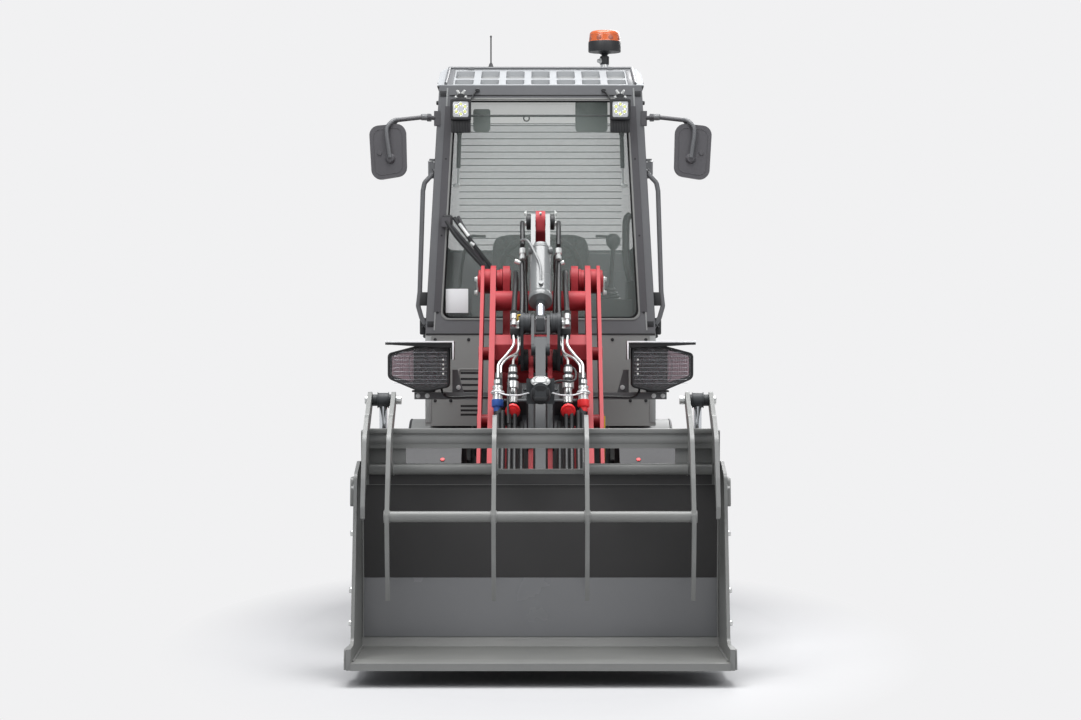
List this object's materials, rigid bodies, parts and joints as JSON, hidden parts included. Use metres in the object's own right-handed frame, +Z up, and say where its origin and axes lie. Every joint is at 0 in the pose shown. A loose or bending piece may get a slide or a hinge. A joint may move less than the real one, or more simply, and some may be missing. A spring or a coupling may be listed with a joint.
{
  "type": "compact wheel loader",
  "caption": "Compact articulated wheel loader with cab, lifting arm, tilting bucket and hydraulic grapple on block-tread wheels.",
  "frame": {"origin": "on the ground under the middle of the machine's box", "axes": "+Z up, -Y forward towards the bucket, +X to the right of someone who faces the bucket from the front"},
  "size_m": [1.4216, 3.86, 2.55],
  "materials": {
    "frame_anthracite": "satin powder coat",
    "cast_iron": "painted rough casting",
    "cab_panel": "satin",
    "cab_anthracite": "satin",
    "glass": "clear, faintly green",
    "roof_white": "smooth",
    "seat_fabric": "woven",
    "black_plastic": "fine grain",
    "rail_steel": "satin",
    "beacon_orange": "translucent",
    "lamp_red": "translucent",
    "arm_red": "gloss powder coat",
    "bucket_grey": "satin",
    "linkage_grey": "satin",
    "cylinder_grey": "satin",
    "chrome_rod": "polished",
    "hood_red": "gloss",
    "tyre_rubber": "matt",
    "rim_grey": "satin"
  },
  "bodies": {
    "rear_chassis": {"rear_frame": "frame_anthracite", "rear_axle": "frame_anthracite", "engine_block": "cast_iron", "counterweight": "cast_iron", "cab_base": "cab_panel", "cab_frame": "cab_anthracite", "cab_glass": "glass", "cab_roof": "roof_white", "seat_base": "frame_anthracite", "seat_cushions": "seat_fabric", "controls": "black_plastic", "mirrors": "black_plastic", "handrails": "rail_steel", "work_lamps": "black_plastic", "wiper": "black_plastic", "roof_beacon": "beacon_orange", "roof_antenna": "black_plastic", "side_steps": "frame_anthracite", "rear_lamps": "lamp_red"},
    "front_chassis": {"front_frame": "frame_anthracite", "tower": "arm_red", "front_axle": "frame_anthracite", "front_fenders": "frame_anthracite", "lamp_bar": "frame_anthracite", "headlamps": "black_plastic"},
    "arm": {"loader_arm": "arm_red", "hydraulic_couplers": "linkage_grey"},
    "bucket": {"bucket": "bucket_grey", "quick_hitch": "linkage_grey"},
    "grapple": {"grapple": "bucket_grey"},
    "grapple_barrels": {"grapple_barrels": "cylinder_grey"},
    "grapple_rods": {"grapple_rods": "chrome_rod"},
    "tilt_lever": {"tilt_lever": "linkage_grey"},
    "push_link": {"push_link": "linkage_grey"},
    "tilt_barrel": {"tilt_barrel": "cylinder_grey"},
    "tilt_rod": {"tilt_rod": "chrome_rod"},
    "lift_barrel": {"lift_barrel": "cylinder_grey"},
    "lift_rod": {"lift_rod": "chrome_rod"},
    "steer_barrel": {"steer_barrel": "cylinder_grey"},
    "steer_rod": {"steer_rod": "chrome_rod"},
    "door_left": {"door_left": "cab_anthracite", "door_glass_left": "glass"},
    "door_right": {"door_right": "cab_anthracite", "door_glass_right": "glass"},
    "hood": {"hood": "hood_red"},
    "steering_wheel": {"steering_wheel": "black_plastic"},
    "wheel_front_left": {"tyre_front_left": "tyre_rubber", "rim_front_left": "rim_grey"},
    "wheel_front_right": {"tyre_front_right": "tyre_rubber", "rim_front_right": "rim_grey"},
    "wheel_rear_left": {"tyre_rear_left": "tyre_rubber", "rim_rear_left": "rim_grey"},
    "wheel_rear_right": {"tyre_rear_right": "tyre_rubber", "rim_rear_right": "rim_grey"}
  },
  "joints": [
    {"name": "articulation", "type": "hinge", "parent": "rear_chassis", "child": "front_chassis", "pos_m": [0, 0.19, 0.494], "axis": [0, 0, 1], "range_deg": [-38, 38]},
    {"name": "wheel_front_left_spin", "type": "hinge", "parent": "front_chassis", "child": "wheel_front_left", "pos_m": [-0.435, -0.49, 0.39], "axis": [1, 0, 0], "continuous": true},
    {"name": "wheel_front_right_spin", "type": "hinge", "parent": "front_chassis", "child": "wheel_front_right", "pos_m": [0.435, -0.49, 0.39], "axis": [1, 0, 0], "continuous": true},
    {"name": "wheel_rear_left_spin", "type": "hinge", "parent": "rear_chassis", "child": "wheel_rear_left", "pos_m": [-0.435, 0.89, 0.39], "axis": [1, 0, 0], "continuous": true},
    {"name": "wheel_rear_right_spin", "type": "hinge", "parent": "rear_chassis", "child": "wheel_rear_right", "pos_m": [0.435, 0.89, 0.39], "axis": [1, 0, 0], "continuous": true},
    {"name": "arm_lift", "type": "hinge", "parent": "front_chassis", "child": "arm", "pos_m": [0, -0.03, 1.42], "axis": [-1, 0, 0], "range_deg": [-1.5, 88]},
    {"name": "bucket_tilt", "type": "hinge", "parent": "arm", "child": "bucket", "pos_m": [0, -1.21, 0.28], "axis": [1, 0, 0], "range_deg": [-30, 60]},
    {"name": "grapple_open", "type": "hinge", "parent": "bucket", "child": "grapple", "pos_m": [0, -1.405, 0.713], "axis": [-1, 0, 0], "range_deg": [0, 60]},
    {"name": "lever_swing", "type": "hinge", "parent": "arm", "child": "tilt_lever", "pos_m": [0, -0.45, 1.1], "axis": [1, 0, 0], "range_deg": [-30.2, 60.2]},
    {"name": "push_link_swing", "type": "hinge", "parent": "tilt_lever", "child": "push_link", "pos_m": [0, -0.5, 1.243], "axis": [1, 0, 0], "range_deg": [-60.2, 30.2]},
    {"name": "tilt_barrel_swing", "type": "hinge", "parent": "arm", "child": "tilt_barrel", "pos_m": [0, -0.06, 1.659], "axis": [1, 0, 0], "range_deg": [-2, 1.1]},
    {"name": "tilt_rod_slide", "type": "slide", "parent": "tilt_barrel", "child": "tilt_rod", "axis": [0, -0.7266, -0.687], "range_m": [-0.0691, 0.1371]},
    {"name": "lift_barrel_swing", "type": "hinge", "parent": "front_chassis", "child": "lift_barrel", "pos_m": [0, -0.2, 0.47], "axis": [1, 0, 0], "range_deg": [-0.34, 8.47]},
    {"name": "lift_rod_slide", "type": "slide", "parent": "lift_barrel", "child": "lift_rod", "axis": [0, -0.0178, 0.9998], "range_m": [-0.0083, 0.428]},
    {"name": "steer_barrel_swing", "type": "hinge", "parent": "rear_chassis", "child": "steer_barrel", "pos_m": [0.235, 0.6, 0.505], "axis": [0, 0, 1], "range_deg": [-13.65, 13.65]},
    {"name": "steer_rod_slide", "type": "slide", "parent": "steer_barrel", "child": "steer_rod", "axis": [-0.0312, -0.9995, 0], "range_m": [-0.1469, 0.1469]},
    {"name": "grapple_barrels_swing", "type": "hinge", "parent": "bucket", "child": "grapple_barrels", "pos_m": [0, -1.225, 0.25], "axis": [1, 0, 0], "range_deg": [-16.88, 0.2]},
    {"name": "grapple_rods_slide", "type": "slide", "parent": "grapple_barrels", "child": "grapple_rods", "axis": [0, -0.0354, 0.9994], "range_m": [-0.2335, 0.001]},
    {"name": "door_right_open", "type": "hinge", "parent": "rear_chassis", "child": "door_right", "pos_m": [0.494, 1.122, 1.5], "axis": [0, 0, 1], "range_deg": [0, 90]},
    {"name": "door_left_open", "type": "hinge", "parent": "rear_chassis", "child": "door_left", "pos_m": [-0.494, 1.122, 1.5], "axis": [0, 0, -1], "range_deg": [0, 90]},
    {"name": "hood_open", "type": "hinge", "parent": "rear_chassis", "child": "hood", "pos_m": [0, 1.2493, 1.286], "axis": [1, 0, 0], "range_deg": [0, 50]},
    {"name": "steering_wheel_turn", "type": "hinge", "parent": "rear_chassis", "child": "steering_wheel", "pos_m": [0, 0.52, 1.475], "axis": [0, 0.8206, 0.5716], "range_deg": [-153, 153]}
  ],
  "couplings": [
    {"joint": "lever_swing", "follows": "bucket_tilt", "ratio": 1},
    {"joint": "push_link_swing", "follows": "bucket_tilt", "ratio": -1},
    {"joint": "tilt_barrel_swing", "follows": "bucket_tilt", "ratio": -0.03},
    {"joint": "tilt_rod_slide", "follows": "bucket_tilt", "m_per_rad": 0.13},
    {"joint": "lift_barrel_swing", "follows": "arm_lift", "ratio": 0.094},
    {"joint": "lift_rod_slide", "follows": "arm_lift", "m_per_rad": 0.278},
    {"joint": "steer_barrel_swing", "follows": "articulation", "ratio": 0.354},
    {"joint": "steer_rod_slide", "follows": "articulation", "m_per_rad": -0.22},
    {"joint": "grapple_barrels_swing", "follows": "grapple_open", "ratio": -0.278},
    {"joint": "grapple_rods_slide", "follows": "grapple_open", "m_per_rad": -0.222},
    {"joint": "steering_wheel_turn", "follows": "articulation", "ratio": 4}
  ]
}
